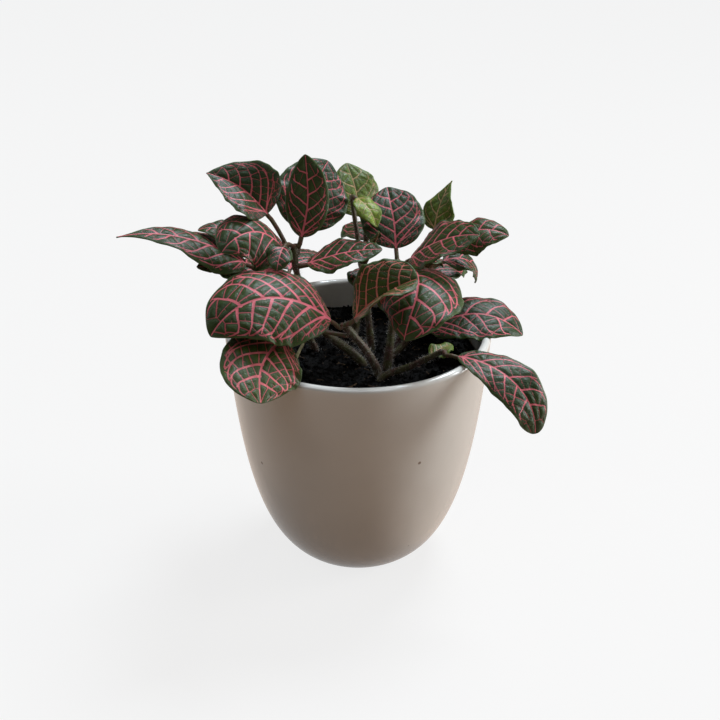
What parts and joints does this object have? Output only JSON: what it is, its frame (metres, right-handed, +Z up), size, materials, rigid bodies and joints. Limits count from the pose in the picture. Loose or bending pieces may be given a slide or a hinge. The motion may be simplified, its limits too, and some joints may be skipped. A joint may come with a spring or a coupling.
{
  "type": "potted nerve plant",
  "caption": "Bushy nerve plant with red-veined dark leaves in a glazed round pot, ready to stand on a table or a shelf.",
  "frame": {"origin": "middle of the flat underside of the pot", "axes": "+Z up along the pot's axis, -Y towards the side with the largest low leaves, +X to the right as seen from that side"},
  "size_m": [0.1833, 0.1482, 0.1916],
  "materials": {
    "pot": "gloss",
    "soil": "matte",
    "stem": "matte",
    "dry_stem": "matte",
    "leaf": "satin",
    "young_leaf": "satin"
  },
  "bodies": {
    "root": {"pot": "pot", "stem_front_left": "stem", "leaf_front_left_big": "leaf", "leaf_front_left_orange": "leaf", "leaf_front_left_under": "leaf", "stem_far_left": "stem", "leaf_far_left_long": "leaf", "leaf_far_left_behind": "leaf", "leaf_far_left_under": "leaf", "leaf_far_left_low": "leaf", "stem_left": "stem", "leaf_left_round": "leaf", "leaf_left_small": "leaf", "leaf_left_dark": "leaf", "leaf_left_top_left": "leaf", "leaf_left_upright": "leaf", "leaf_left_top_right": "leaf", "stem_middle": "stem", "leaf_middle_bright": "young_leaf", "leaf_middle_fuzzy": "leaf", "leaf_middle_black": "leaf", "stem_right": "stem", "leaf_right_upright": "leaf", "leaf_right_forward": "leaf", "leaf_right_front": "leaf", "stem_back_right": "stem", "leaf_back_right_round": "leaf", "leaf_back_right_down": "leaf", "leaf_back_right_rear": "leaf", "leaf_back_right_top": "young_leaf", "leaf_back_right_striped": "leaf", "stem_dry": "dry_stem", "stem_low_right": "stem", "leaf_low_right_drape": "leaf", "leaf_low_right_lobed": "young_leaf", "stem_side_right": "stem", "leaf_side_right_side": "leaf", "stem_back": "stem", "leaf_back_green": "young_leaf", "leaf_back_tall": "leaf", "leaf_back_rear": "leaf", "stem_back_left": "stem", "leaf_back_left_outer": "leaf", "leaf_back_left_low": "leaf", "leaf_back_left_rear": "leaf", "stem_back_low": "stem", "leaf_back_low_outer": "leaf", "leaf_back_low_rear": "leaf", "soil": "soil"}
  },
  "joints": []
}
